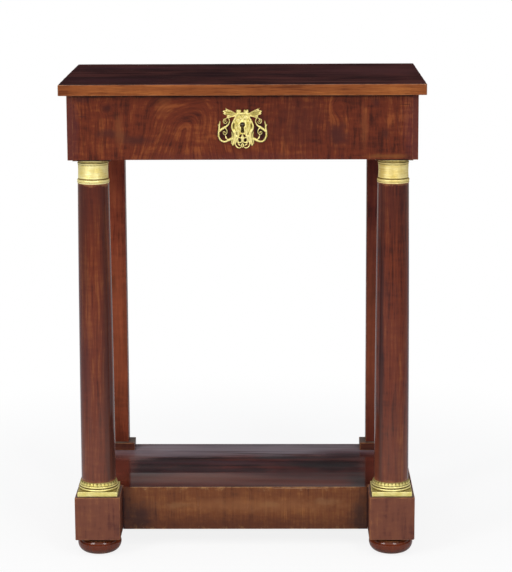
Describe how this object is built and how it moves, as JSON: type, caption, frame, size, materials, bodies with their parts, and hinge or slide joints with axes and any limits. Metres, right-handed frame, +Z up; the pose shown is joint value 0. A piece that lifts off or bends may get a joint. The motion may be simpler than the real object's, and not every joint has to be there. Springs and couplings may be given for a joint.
{
  "type": "pier table",
  "caption": "Pier table with a square-edged top, a deep frieze holding a locking drawer, turned columns in gilt mounts, square rear pilasters and a plinth shelf on bun feet.",
  "frame": {"origin": "middle of the footprint, on the floor", "axes": "+Z up, +X to the right seen from the front, +Y to the back; the drawer opens along -Y"},
  "size_m": [0.66, 0.396, 0.8845],
  "materials": {
    "mahogany": "French polished",
    "mahogany_top": "French polished, high gloss",
    "veneer": "figured veneer, French polished",
    "pine": "aged, unpolished",
    "oak": "aged, waxed",
    "ebonised": "ebonised, satin",
    "gilt_brass": "burnished and matt gilding",
    "lock_brass": "aged brass",
    "steel": "old iron, dull"
  },
  "bodies": {
    "table": {"abacus_left": "ebonised", "abacus_right": "ebonised", "base_block_left": "mahogany", "base_block_right": "mahogany", "capital_left": "gilt_brass", "capital_right": "gilt_brass", "column_base_plate_left": "gilt_brass", "column_base_plate_right": "gilt_brass", "column_base_rings_left": "gilt_brass", "column_base_rings_right": "gilt_brass", "column_left": "mahogany", "column_right": "mahogany", "drawer_runner_left": "pine", "drawer_runner_right": "pine", "drawer_stops": "pine", "foot_front_left": "mahogany", "foot_front_right": "mahogany", "foot_rear_left": "mahogany", "foot_rear_right": "mahogany", "frieze_back": "pine", "frieze_corner_blocks": "pine", "frieze_side_left": "mahogany", "frieze_side_right": "mahogany", "front_rail": "pine", "kicker_left": "pine", "kicker_right": "pine", "pilaster_base_left": "mahogany", "pilaster_base_right": "mahogany", "pilaster_left": "mahogany", "pilaster_right": "mahogany", "plinth_back": "pine", "plinth_front_board": "pine", "plinth_front_veneer": "veneer", "plinth_glue_blocks": "pine", "plinth_side_left": "mahogany", "plinth_side_right": "mahogany", "rear_corner_block_left": "pine", "rear_corner_block_right": "pine", "rear_rail": "pine", "shelf_board": "mahogany_top", "top_board": "mahogany_top", "top_screws": "steel"},
    "drawer": {"drawer_back": "oak", "drawer_bottom": "pine", "drawer_bottom_pins": "steel", "drawer_front": "pine", "drawer_front_veneer": "veneer", "drawer_side_left": "oak", "drawer_side_right": "oak", "escutcheon": "gilt_brass", "escutcheon_pins": "gilt_brass", "lock_case": "steel", "lock_key_pin": "steel", "lock_plate": "lock_brass", "lock_screws": "steel", "lock_spring": "steel"},
    "lock_bolt": {"lock_bolt": "lock_brass"}
  },
  "joints": [
    {"name": "drawer_slide", "type": "slide", "parent": "table", "child": "drawer", "axis": [0, -1, 0], "range_m": [0, 0.26]},
    {"name": "lock_bolt_throw", "type": "slide", "parent": "drawer", "child": "lock_bolt", "axis": [0, 0, 1], "range_m": [0, 0.007]}
  ]
}
